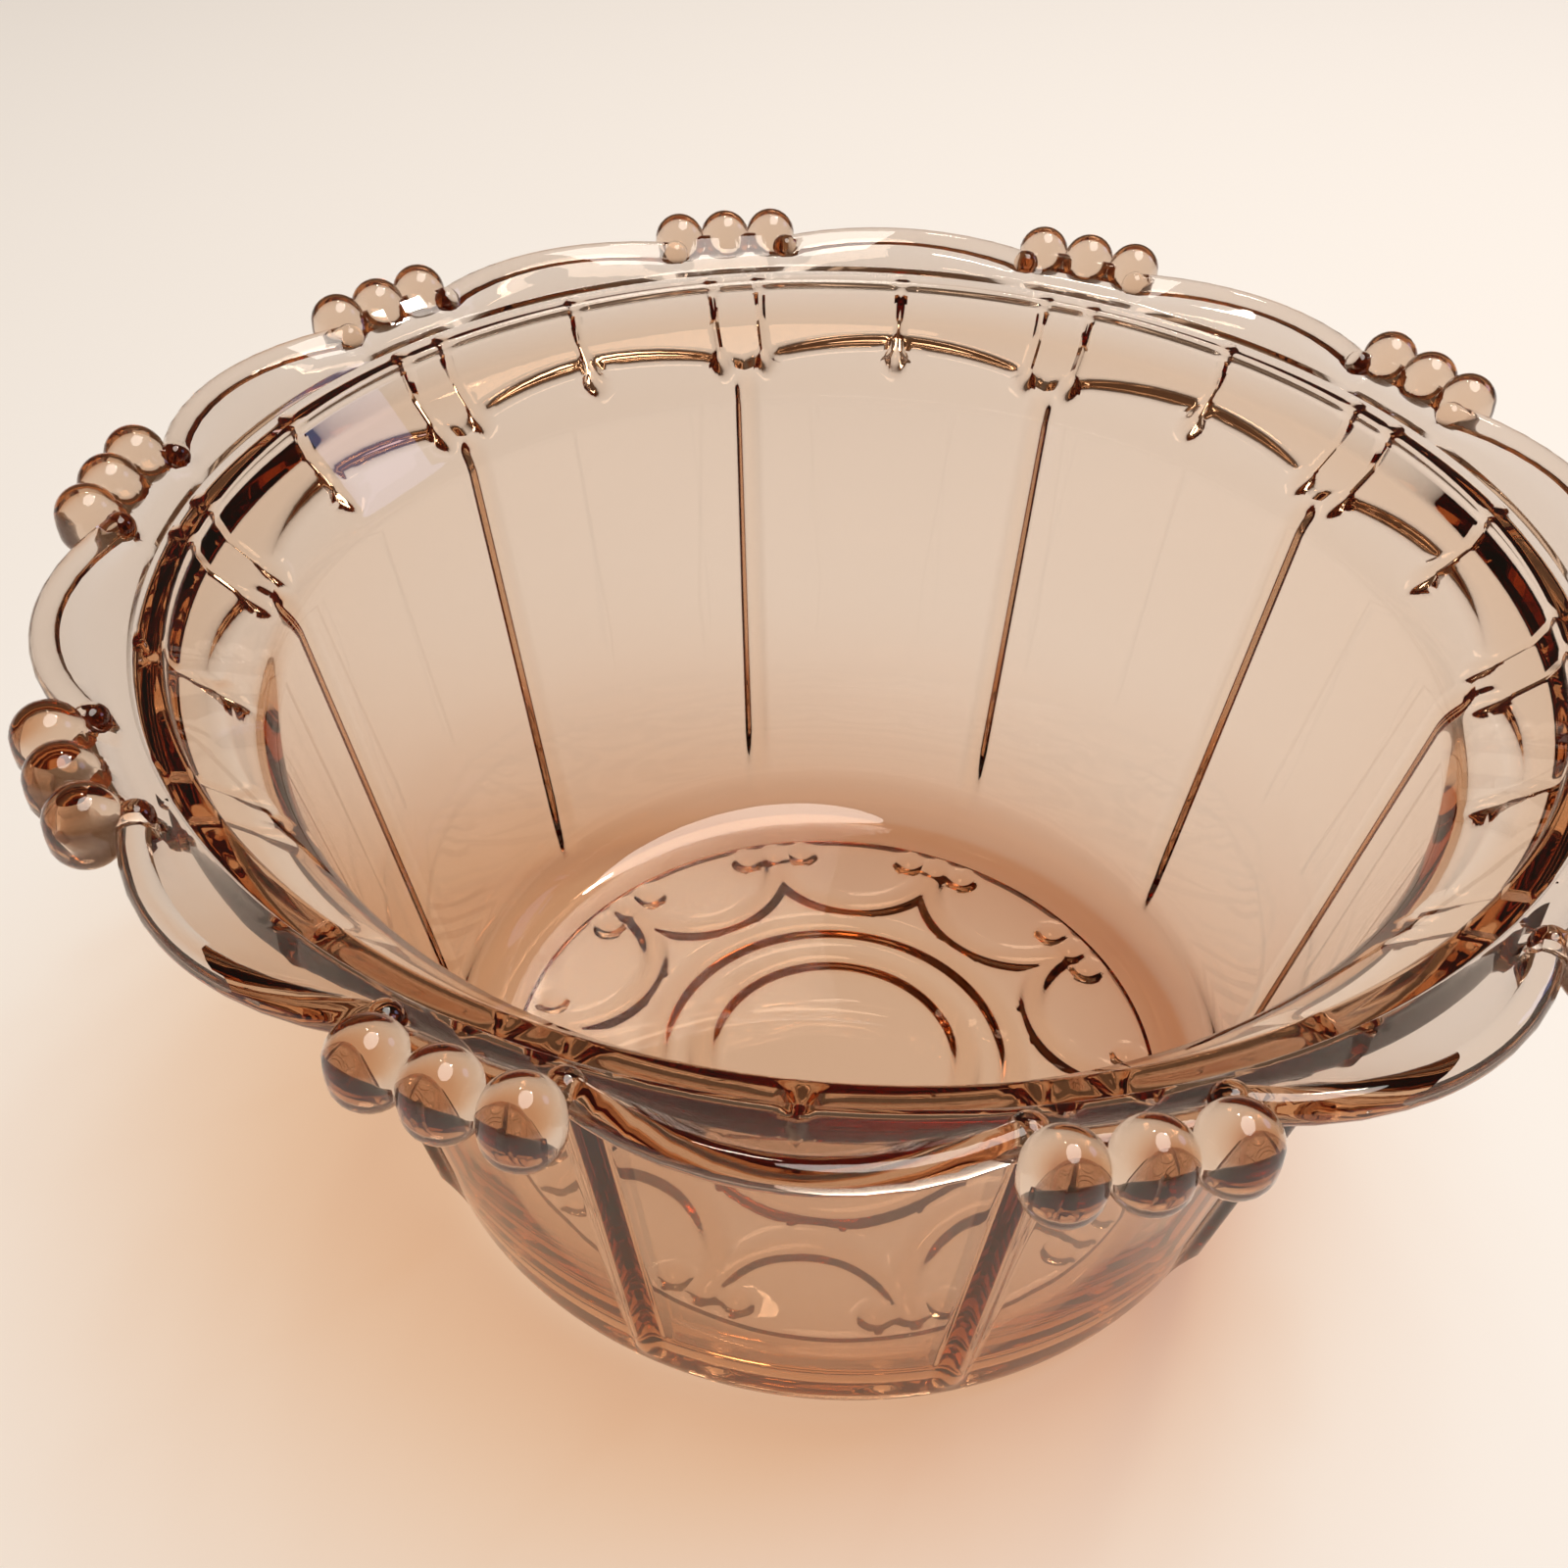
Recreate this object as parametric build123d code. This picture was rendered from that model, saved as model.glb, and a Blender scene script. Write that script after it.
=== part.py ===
from build123d import *
import math
import os

# Round footed candy dish of pressed glass, in millimetres.
# +Z is up, the origin is the centre of the flat ring that the dish stands on.
# The dish is one casting: each node is one moulded feature, and the nodes meet face to face.

# ---- driving dimensions ----
PANELS = 10                    # wall panels, scallops and bead groups round the dish
PITCH = 360 / PANELS           # angle from one bead group to the next
BEAD_CIRCLE_R = 82.0           # circle through the centres of the rim beads
BEAD_PLANE_Z = 82.0            # height of the rim beads' mid-plane
BEAD_R = 3.35                  # rim bead radius seen from above
BEAD_STRAIGHT = 1.2            # straight middle between a bead's two domes
BEAD_STEP = 4.5                # angle between neighbouring beads in a group

FLOOR_TOP_Z = 5.2              # inside floor of the bowl
RECESS_Z = 1.5                 # underside inside the standing ring
RECESS_R = 42.5
WALL_FOOT_R = 51.4             # outer wall line carried down to the table
SHOULDER_R = 65.7              # outer wall line at the bend below the rim
SHOULDER_Z = 66.8
WALL = 3.8                     # glass thickness measured level
HEEL_R = 8.0                   # rounding between wall and standing ring
FLOOR_FILLET_R = 9.0           # rounding between inside wall and floor
INNER_BEND = (62.4, 69.0)      # radius and height where the inside wall meets the shoulder
INNER_BEND_R = 6.0             # rounding of that bend
OUTER_BEND_R = 8.0             # rounding of the bend outside

SEAT_IN_R = 71.4               # inner edge of the level lid seat
SEAT_OUT_R = 74.45             # outer edge of the lid seat, where the flange starts
SEAT_Z = 80.2                  # level of the lid seat
SEAT_NECK_Z = 78.6             # lower end of the upright face under the seat
SEAT_NECK_R = 0.8              # rounding under that face
SEAT_LIP_R = 0.7               # rounding of the seat's inner edge
RIM_UNDER_Z = 78.3             # underside of the rim at the seat's outer edge

FLANGE_TOP_IN_Z = 80.9         # flange top at its inner edge, a small step above the seat
FLANGE_RISE = 0.22             # slope of the flange, rise over run outwards
FLANGE_UNDER_RISE = 0.30
FLANGE_REACH = 12.0            # the flange is drawn this wide, then cut to its outline
EDGE_ROLL_R = 1.5              # half thickness of the rolled edge round each scallop
EDGE_ROLL_Z = 82.1
SCALLOP_R = 27.8               # radius of the line that a scallop's rolled edge follows
SCALLOP_HALF = 37.0            # half the angle that this line turns through
END_BALL_R = 1.75              # small ball where a rolled edge ends beside the beads
CLUSTER_LAND_R = 81.0          # flange outline behind a bead group
CLUSTER_LAND_HALF = 5.2        # half the angle that this outline covers

RIB_R = 1.7                    # half-round rib between two wall panels
RIB_LOW_Z = 9.0
RIB_HIGH_Z = 68.2
BAND_T = 1.0                   # how far the arched band stands proud of the shoulder at its foot
BAND_KNEE_R = 73.7             # the band's sloping face ends here and turns upright
BAND_KNEE_Z = 72.6
BAND_TOP_R = 74.2              # top of the band's upright face, under the flange
ARCH_TOP_Z = 71.3              # crown of the arch above each wall panel
ARCH_FOOT_Z = 69.2             # where two arches meet above a rib
STEM_R = 0.8
STEM_LIFT = 0.7                # drop centre above the shoulder
STEM_OFFSET = 2.55             # angle of the two stems each side of a rib
STEM_PROUD = 0.1               # stem centre line outside the band's face
STEM_LOW_Z = 69.7
STEM_HIGH_Z = 77.6
DROP_R = 1.4                   # ball at the foot of a stem

RING_RADII = (17.7, 24.1)      # raised rings under the floor
RING_RIDGE_R = 0.8
STAR_POINT_R = 39.4            # where the points of the star reach
STAR_VALLEY_R = 28.5           # where the curved sides of the star dip
STAR_RIDGE_R = 0.7
BASE_BALL_R = 2.1              # small balls at each point of the star
BASE_BALL_Z = 2.3
BASE_BALL_STEP = 6.0

HEEL_TOP_Z = 12.0              # level where the heel ends and the plain wall starts
SHOULDER_LOW_Z = 64.0          # level where the plain wall ends and the shoulder starts
CLEAR = 20.0                   # how far a cutting shape reaches past what it cuts
ROLL_CRUMB = 5.0               # pieces of a rolled edge below this volume are offcuts
SMALL_CRUMB = 0.5              # the same for stems, ribs, base balls and star


def polar(radius, degrees, z=0.0):
    """Point at a radius and an angle round the dish."""
    angle = math.radians(degrees)
    return Vector(radius * math.cos(angle), radius * math.sin(angle), z)


def outer_wall_r(z):
    """Outer radius of the plain flared wall at a height."""
    return WALL_FOOT_R + (SHOULDER_R - WALL_FOOT_R) * z / SHOULDER_Z


def lathe(lines):
    """Solid turned about Z from closed lines drawn as radius and height."""
    return revolve(Plane.XZ * make_face(lines), Axis.Z)


def ring_slab(low_z, high_z, in_r, out_r):
    """Square-edged ring used to part the turned body into its zones."""
    height = high_z - low_z
    slab = Pos(0, 0, (low_z + high_z) / 2) * Cylinder(out_r, height)
    if in_r > 0:
        slab -= Pos(0, 0, (low_z + high_z) / 2) * Cylinder(in_r, height)
    return slab


def turned_body():
    """Bowl without its relief: floor, heel, wall, shoulder and lid seat."""
    inner = FilletPolyline(
        (0, FLOOR_TOP_Z),
        (outer_wall_r(FLOOR_TOP_Z) - WALL, FLOOR_TOP_Z),
        INNER_BEND,
        (SEAT_IN_R, SEAT_NECK_Z),
        (SEAT_IN_R, SEAT_Z),
        (SEAT_OUT_R, SEAT_Z),
        radius=[FLOOR_FILLET_R, INNER_BEND_R, SEAT_NECK_R, SEAT_LIP_R],
    )
    rim_side = Line((SEAT_OUT_R, SEAT_Z), (SEAT_OUT_R, RIM_UNDER_Z))
    outer = FilletPolyline(
        (SEAT_OUT_R, RIM_UNDER_Z),
        (SHOULDER_R, SHOULDER_Z),
        (WALL_FOOT_R, 0),
        (RECESS_R, 0),
        radius=[OUTER_BEND_R, HEEL_R],
    )
    under = Polyline((RECESS_R, 0), (RECESS_R, RECESS_Z), (0, RECESS_Z), (0, FLOOR_TOP_Z))
    return lathe(inner + rim_side + outer + under)


def body_zones(body):
    """The turned body parted into floor, heel, wall, shoulder and lid seat."""
    far = BEAD_CIRCLE_R + CLEAR
    return {
        "base_floor": body & ring_slab(-1, HEEL_TOP_Z, 0, RECESS_R),
        "standing_heel": body & ring_slab(-1, HEEL_TOP_Z, RECESS_R, far),
        "bowl_wall": body & ring_slab(HEEL_TOP_Z, SHOULDER_LOW_Z, 0, far),
        "shoulder": body & ring_slab(SHOULDER_LOW_Z, RIM_UNDER_Z, 0, far),
        "lid_seat": body & ring_slab(RIM_UNDER_Z, BEAD_PLANE_Z, 0, far),
    }


def rim_bead(degrees):
    """One rim bead: two domes with a short straight middle."""
    middle = polar(BEAD_CIRCLE_R, degrees, BEAD_PLANE_Z)
    half = Vector(0, 0, BEAD_STRAIGHT / 2)
    bead = Pos(middle) * Cylinder(BEAD_R, BEAD_STRAIGHT)
    bead += Pos(middle + half) * Sphere(BEAD_R)
    bead += Pos(middle - half) * Sphere(BEAD_R)
    return bead


def rim_beads():
    """A group of three touching beads at each panel rib."""
    groups = []
    for index in range(PANELS):
        group = rim_bead(index * PITCH)
        for side in (-1, 1):
            group += rim_bead(index * PITCH + side * BEAD_STEP)
        groups.append(group)
    return groups


def scallop_centre_r():
    """Distance from the axis to the centre of a scallop's curve."""
    return BEAD_CIRCLE_R - SCALLOP_R


def scallop_point(degrees_round, degrees_turned):
    """Point on the rolled edge's centre line of the scallop at an angle round the dish."""
    turned = math.radians(degrees_turned)
    x = scallop_centre_r() + SCALLOP_R * math.cos(turned)
    y = SCALLOP_R * math.sin(turned)
    return Vector(x, y, 0).rotate(Axis.Z, degrees_round)


def edge_rolls():
    """Round edge along each scallop, ending in a small ball at both ends."""
    section = Plane.XZ * (Pos(BEAD_CIRCLE_R, EDGE_ROLL_Z) * Circle(EDGE_ROLL_R))
    axis = Axis((scallop_centre_r(), 0, 0), (0, 0, 1))
    roll = revolve(section, axis, 2 * SCALLOP_HALF)
    roll = roll.rotate(axis, -SCALLOP_HALF)
    for side in (-1, 1):
        spot = scallop_point(0, side * SCALLOP_HALF)
        along_roll = Rot(0, 0, side * SCALLOP_HALF + 90) * Rot(0, 90, 0)
        roll += Pos(spot.X, spot.Y, EDGE_ROLL_Z) * along_roll * Sphere(END_BALL_R)
    return [roll.rotate(Axis.Z, (index + 0.5) * PITCH) for index in range(PANELS)]


def flange_outline():
    """Scalloped outline of the flange, with a short land behind each bead group."""
    edges = []
    for index in range(PANELS):
        middle = (index + 0.5) * PITCH
        start = scallop_point(middle, -SCALLOP_HALF)
        end = scallop_point(middle, SCALLOP_HALF)
        land_angle = (index + 1) * PITCH
        land_start = polar(CLUSTER_LAND_R, land_angle - CLUSTER_LAND_HALF)
        land_end = polar(CLUSTER_LAND_R, land_angle + CLUSTER_LAND_HALF)
        following = scallop_point(middle + PITCH, -SCALLOP_HALF)
        edges.append(ThreePointArc(start, scallop_point(middle, 0), end))
        edges.append(Line(end, land_start))
        edges.append(ThreePointArc(land_start, polar(CLUSTER_LAND_R, land_angle), land_end))
        edges.append(Line(land_end, following))
    return make_face(edges)


def flange_plate():
    """Gently rising scalloped plate outside the lid seat."""
    top_rise = FLANGE_RISE * FLANGE_REACH
    under_rise = FLANGE_UNDER_RISE * FLANGE_REACH
    section = Polyline(
        (SEAT_OUT_R, RIM_UNDER_Z),
        (SEAT_OUT_R + FLANGE_REACH, RIM_UNDER_Z + under_rise),
        (SEAT_OUT_R + FLANGE_REACH, FLANGE_TOP_IN_Z + top_rise),
        (SEAT_OUT_R, FLANGE_TOP_IN_Z),
        (SEAT_OUT_R, RIM_UNDER_Z),
    )
    blank = Pos(0, 0, RIM_UNDER_Z - CLEAR) * extrude(flange_outline(), 2 * CLEAR)
    return lathe(section) & blank


def shoulder_frame():
    """Unit vectors along the shoulder's outer line, upwards, and square out of it."""
    along = Vector(SEAT_OUT_R - SHOULDER_R, 0, RIM_UNDER_Z - SHOULDER_Z).normalized()
    outward = Vector(along.Z, 0, -along.X)
    return along, outward


def shoulder_point(z, lift):
    """Point above the shoulder's outer line, at a height and a lift out of the surface."""
    along, outward = shoulder_frame()
    base = Vector(SHOULDER_R, 0, SHOULDER_Z) + outward * lift
    return base + along * ((z - base.Z) / along.Z)


def arch_cutters():
    """Level cylinders whose tops are the arches over the wall panels."""
    foot = SHOULDER_R * math.sin(math.radians(PITCH / 2))
    rise = ARCH_TOP_Z - ARCH_FOOT_Z
    radius = (foot ** 2 + rise ** 2) / (2 * rise)
    cutter = Pos(SHOULDER_R, 0, ARCH_TOP_Z - radius) * Rot(0, 90, 0) * Cylinder(radius, 2 * CLEAR)
    return [cutter.rotate(Axis.Z, (index + 0.5) * PITCH) for index in range(PANELS)]


def arched_band():
    """Proud band under the rim whose lower edge arches over each wall panel."""
    low = shoulder_point(ARCH_FOOT_Z - 1, BAND_T)
    section = Polyline(
        (low.X, low.Z),
        (BAND_KNEE_R, BAND_KNEE_Z),
        (BAND_TOP_R, RIM_UNDER_Z),
        (BAND_TOP_R, RIM_UNDER_Z + 1),
        (SEAT_OUT_R - 2, RIM_UNDER_Z + 1),
        (low.X - 2, low.Z),
        (low.X, low.Z),
    )
    band = lathe(section)
    for cutter in arch_cutters():
        band -= cutter
    return band


def rod(start, end, radius):
    """Round rod between two points."""
    line = end - start
    return extrude(Plane(start, z_dir=line) * Circle(radius), line.length)


def stem_angles():
    """Angles of the stems: a pair at each rib and one over the middle of each panel."""
    angles = []
    for index in range(PANELS):
        angles += [index * PITCH - STEM_OFFSET, index * PITCH + STEM_OFFSET]
        angles.append((index + 0.5) * PITCH)
    return angles


def stems():
    """Short ribs that run down the band's face from under the flange, each to its drop."""
    drop = Pos(shoulder_point(STEM_LOW_Z, STEM_LIFT)) * Sphere(DROP_R)
    low = shoulder_point(STEM_LOW_Z, BAND_T + STEM_PROUD)
    knee = Vector(BAND_KNEE_R + STEM_PROUD, 0, BAND_KNEE_Z)
    high = Vector(BAND_TOP_R + STEM_PROUD, 0, STEM_HIGH_Z)
    stem = rod(low, knee, STEM_R) + Pos(knee) * Sphere(STEM_R) + rod(knee, high, STEM_R) - drop
    return [stem.rotate(Axis.Z, angle) for angle in stem_angles()]


def drops():
    """Ball at the foot of each stem."""
    ball = Pos(shoulder_point(STEM_LOW_Z, STEM_LIFT)) * Sphere(DROP_R)
    return [ball.rotate(Axis.Z, angle) for angle in stem_angles()]


def panel_ribs():
    """Half-round ribs that run up the wall between the panels."""
    low = Vector(outer_wall_r(RIB_LOW_Z), 0, RIB_LOW_Z)
    high = Vector(outer_wall_r(RIB_HIGH_Z), 0, RIB_HIGH_Z)
    rib = rod(low, high, RIB_R) + Pos(low) * Sphere(RIB_R) + Pos(high) * Sphere(RIB_R)
    return [rib.rotate(Axis.Z, index * PITCH) for index in range(PANELS)]


def base_rings():
    """Two raised rings under the floor, round its clear middle."""
    return [Pos(0, 0, RECESS_Z) * Torus(radius, RING_RIDGE_R) for radius in RING_RADII]


def base_star():
    """Ridge in the shape of a star whose sides are hollow curves."""
    half_chord = STAR_POINT_R * math.sin(math.radians(PITCH / 2))
    dip = STAR_POINT_R * math.cos(math.radians(PITCH / 2)) - STAR_VALLEY_R
    radius = (half_chord ** 2 + dip ** 2) / (2 * dip)
    half_turn = math.degrees(math.asin(half_chord / radius))
    centre_r = STAR_VALLEY_R + radius
    section = Plane.XZ * (Pos(STAR_VALLEY_R, RECESS_Z) * Circle(STAR_RIDGE_R))
    axis = Axis((centre_r, 0, 0), (0, 0, 1))
    side = revolve(section, axis, 2 * half_turn).rotate(axis, -half_turn)
    return [side.rotate(Axis.Z, (index + 0.5) * PITCH) for index in range(PANELS)]


def base_balls():
    """Row of three small balls at each point of the star."""
    balls = []
    for index in range(PANELS):
        for step in (-1, 0, 1):
            spot = polar(STAR_POINT_R, index * PITCH + step * BASE_BALL_STEP, BASE_BALL_Z)
            balls.append(Pos(spot) * Sphere(BASE_BALL_R))
    return balls


def cut_all(pieces, carriers):
    """Each piece with its carriers taken away, so that it only touches them."""
    cut = []
    for piece in pieces:
        for carrier in carriers:
            piece = piece - carrier
        cut += list(piece.solids())
    return cut


def biggest_only(pieces, smallest_volume):
    """Pieces without the crumbs that a cut can leave."""
    return [piece for piece in pieces if piece.volume > smallest_volume]


def build_nodes():
    """Every node of the dish by name."""
    body = turned_body()
    nodes = body_zones(body)

    beads = rim_beads()
    all_beads = Compound(children=[solid for group in beads for solid in group.solids()])
    rolls = biggest_only(cut_all(edge_rolls(), beads), ROLL_CRUMB)
    all_rolls = Compound(children=rolls)

    flange = flange_plate()
    for carrier in beads + rolls:
        flange -= carrier
    flange_solid = max(flange.solids(), key=lambda solid: solid.volume)

    band = arched_band() - body - flange_solid
    band_solid = max(band.solids(), key=lambda solid: solid.volume)

    drop_pieces = cut_all(drops(), [body, band_solid])
    all_drops = Compound(children=drop_pieces)
    stem_pieces = biggest_only(cut_all(stems(), [body, band_solid, flange_solid]), SMALL_CRUMB)

    ball_pieces = biggest_only(cut_all(base_balls(), [nodes["base_floor"]]), SMALL_CRUMB)
    all_base_balls = Compound(children=ball_pieces)
    star_pieces = biggest_only(cut_all(base_star(), [nodes["base_floor"], all_base_balls]), SMALL_CRUMB)
    ring_pieces = cut_all(base_rings(), [nodes["base_floor"]])
    rib_pieces = biggest_only(cut_all(panel_ribs(), [body, band_solid]), SMALL_CRUMB)

    nodes["rim_beads"] = all_beads
    nodes["edge_rolls"] = all_rolls
    nodes["scalloped_flange"] = flange_solid
    nodes["arched_band"] = band_solid
    nodes["shoulder_stems"] = Compound(children=stem_pieces)
    nodes["stem_drops"] = all_drops
    nodes["panel_ribs"] = Compound(children=rib_pieces)
    nodes["base_balls"] = all_base_balls
    nodes["base_star"] = Compound(children=star_pieces)
    nodes["base_rings"] = Compound(children=ring_pieces)
    return nodes


os.makedirs("parts", exist_ok=True)
for name, shape in build_nodes().items():
    export_step(shape, f"parts/{name}.step")
    print(f"{name:18s} {len(shape.solids()):3d} solids {shape.volume:10.1f} mm3")
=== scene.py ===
import math
from types import SimpleNamespace

import bpy
import numpy as np
from mathutils import Matrix, Vector


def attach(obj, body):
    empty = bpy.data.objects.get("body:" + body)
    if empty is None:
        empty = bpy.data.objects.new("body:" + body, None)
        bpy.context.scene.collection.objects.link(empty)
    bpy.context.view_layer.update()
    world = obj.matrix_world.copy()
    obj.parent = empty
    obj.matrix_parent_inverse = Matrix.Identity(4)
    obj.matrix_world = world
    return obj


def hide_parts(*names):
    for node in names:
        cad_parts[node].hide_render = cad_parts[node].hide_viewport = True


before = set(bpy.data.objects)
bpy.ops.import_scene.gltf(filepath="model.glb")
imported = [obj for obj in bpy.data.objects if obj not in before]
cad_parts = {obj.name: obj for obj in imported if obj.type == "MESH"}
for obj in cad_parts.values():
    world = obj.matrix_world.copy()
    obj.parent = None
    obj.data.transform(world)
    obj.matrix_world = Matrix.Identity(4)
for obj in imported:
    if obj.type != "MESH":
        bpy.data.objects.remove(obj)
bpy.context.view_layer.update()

bl_info = {
    "name": "Pressed glass candy dish",
    "version": (1, 0, 0),
    "blender": (4, 5, 0),
    "location": "View3D > Sidebar > Candy Dish",
    "description": "Builds a pink pressed glass candy dish with a beaded scalloped rim",
    "category": "Add Mesh",
}

MM = 0.001

# Lengths below are in millimetres and angles in degrees, unless a line says otherwise.

# The dish repeats ten times round its axis. One repeat runs from one bead group to the next.
REPEATS = 10
PITCH = 360.0 / REPEATS
HALF_PITCH = PITCH / 2

# Columns of half a repeat, from the bead group to the middle of the panel: close together at the
# rib, the paired stems, the scallop's end and the single stem.
HALF_COLUMNS = (
    0.0, 0.35, 0.7, 1.05, 1.4, 1.75, 2.1, 2.45, 2.8, 3.15, 3.6, 4.3, 5.3,
    6.3, 7.6, 9.6, 12.0, 14.4, 16.2, 16.9, 17.3, 17.65, 18.0,
)
COLUMNS = 2 * (len(HALF_COLUMNS) - 1) * REPEATS
EVEN_STEP = 360.0 / COLUMNS
HEEL_SPREAD = (0.3, 6.0)  # heights between which the heel's columns go from even to dense
MOUTH_Z = 84.0
INSIDE_SPREAD = (6, 30)  # depths below the mouth where the inside columns go back to even

# Zones of the profile, used when the relief is pressed into the turned body.
UNDER, HEEL, WALL, SHOULDER, FLANGE_UNDER, ROLL, FLANGE_TOP, SEAT, INSIDE = range(9)

# Rows of the profile.
CLEAR_RADII = (0.0, 6.0, 14.5)  # plain middle of the underside
RELIEF_START_R = 15.2
RELIEF_END_GAP = 1.2
RELIEF_ROW_STEP = 0.52
RECESS_RUN = 0.6  # slope between the recess and the standing ring
RECESS_ROUND = 0.35
RECESS_LINE_R = 20.0  # any point on the recess's flat
RING_LINE_R = 50.0  # any point on the standing ring's flat
WALL_ROW_STEP = 5.0
SHOULDER_ROW_STEP = 0.36
LONG_ARC_STEPS = 12
UNDER_RISE, TOP_RISE = 0.3, 0.22  # rise of the flange over its run, underneath and on top
UNDER_RUNS = (0.5, 1.2, 2.2, 3.4)
TOP_RUNS = (3.4, 2.2, 1.2, 0.6)
FLANGE_SPAN = 5.2  # run that is stretched to reach the scalloped edge
FLANGE_TUCK = 0.8  # how far the flange ends inside the middle line of the roll
ROLL_INSET = 1.0
ROLL_POINTS = 15
ROLL_HALF_TURN = 118
STEP_OUT, STEP_IN = 0.25, 0.1  # lean of the small step between flange and seat
STEP_RUN = 2.0
STEP_TOP_ROUND, STEP_FOOT_ROUND = 0.25, 0.2
LIP_ROUND, NECK_ROUND, INNER_BEND_ROUND, FLOOR_ROUND = 0.7, 0.8, 6.0, 9.0
FLOOR_ROW_R = 24.0

# The arched band, its stems and their drops.
ARCH_ROW = 70.2  # height of the row that follows the band's lower edge
ARCH_ROW_HALF = 0.4
ARCH_MOVE = (67.0, 77.0)  # rows between these heights shift with the arch
BAND_EDGE = 0.3
BAND_FOOT_DROP = 1.0  # the band's sloping face is drawn from this far below the arch's foot
KNEE_EASE = 0.25
STEM_LIFT, STEM_HALF, STEM_FADE = 0.8, 1.5, 0.4
DROP_LIFT, DROP_REACH = 2.7, 2.1

# Relief on the wall and under the floor.
RIDGE_LIFT, RING_HALF, STAR_HALF = 1.1, 2.8, 2.7
STAR_END_GAP = 0.4
FAR_OFF = 9.0
BASE_BALL_STEPS = (-6.0, 0.0, 6.0)
BASE_BALL_LIFT, BASE_BALL_R, BASE_BALL_SOFT = 1.4, 2.3, 0.35
RIB_LIFT, RIB_SPREAD = 0.74, 1.38  # both as shares of the rib's radius
RIB_FOOT_FADE = (-1.7, 0.8)
RIB_TOP_FADE = (-1.2, 1.5)
LAND_FADE = (4.2, 5.9)  # angles between which a scallop runs out behind a bead group
LAND_INSET = 1.2

BEAD_FACES = (24, 14)  # segments and rings of a rim bead
END_BALL_FACES = (16, 10)
END_BALL_CIRCLE_R = 78.2
END_BALL_TURN = 5.65  # angle of an end ball from the middle bead of its group
BALL_MIDDLE = 0.12  # share of a ball's radius that opens into its straight middle
SHARP_ANGLE = 40
MERGE_DISTANCE = 0.00001  # metres

# Lamps: name, place and aim in metres, size in metres, watts, colour.
LAMPS = (
    ("overhead", (0.3, 0.05, 1.35), (0, 0.05, 0), (1.2, 0.8), 17.0, "#FFF9F1"),
    ("side", (1.15, 0.55, 0.75), (0.1, 0.2, 0), (0.5, 0.45), 1.3, "#B8C6FF"),
    ("lamp_left", (-0.13, 0.74, 1.41), (0, 0, 0.05), (0.12, 0.12), 1.6, "#FFF3E2"),
    ("lamp_right", (0.51, 0.61, 1.39), (0, 0, 0.05), (0.12, 0.12), 3.4, "#FFF3E2"),
)
CAMERA_AT = (0.00526, -0.15799, 0.18021)  # metres
CAMERA_RIGHT = (0.99420, 0.10442, 0.02563)
CAMERA_UP = (-0.08629, 0.63269, 0.76958)
CAMERA_LENS = 40.23
CAMERA_SENSOR = 36.0
CAMERA_NEAR = 0.01  # metres
FLOOR_RADIUS = 3.0  # metres
FLOOR_GAP = 0.0001  # metres between the floor and the standing ring


def linear(hex_colour):
    """A #RRGGBB colour as linear RGBA."""
    parts = [int(hex_colour[k:k + 2], 16) / 255 for k in (1, 3, 5)]
    return tuple(c / 12.92 if c <= 0.04045 else ((c + 0.055) / 1.055) ** 2.4 for c in parts) + (1.0,)


def length(name, description, millimetres):
    """A length that a user can change."""
    return bpy.props.FloatProperty(
        name=name, description=description, default=millimetres * MM,
        min=0.0, subtype="DISTANCE", unit="LENGTH", precision=5,
    )


def angle(name, description, degrees):
    """An angle that a user can change."""
    return bpy.props.FloatProperty(
        name=name, description=description, default=math.radians(degrees),
        min=0.0, subtype="ANGLE", unit="ROTATION",
    )


def colour(name, description, default):
    """A colour that a user can change."""
    return bpy.props.FloatVectorProperty(
        name=name, description=description, default=default,
        min=0.0, max=1.0, size=3, subtype="COLOR",
    )


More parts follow.
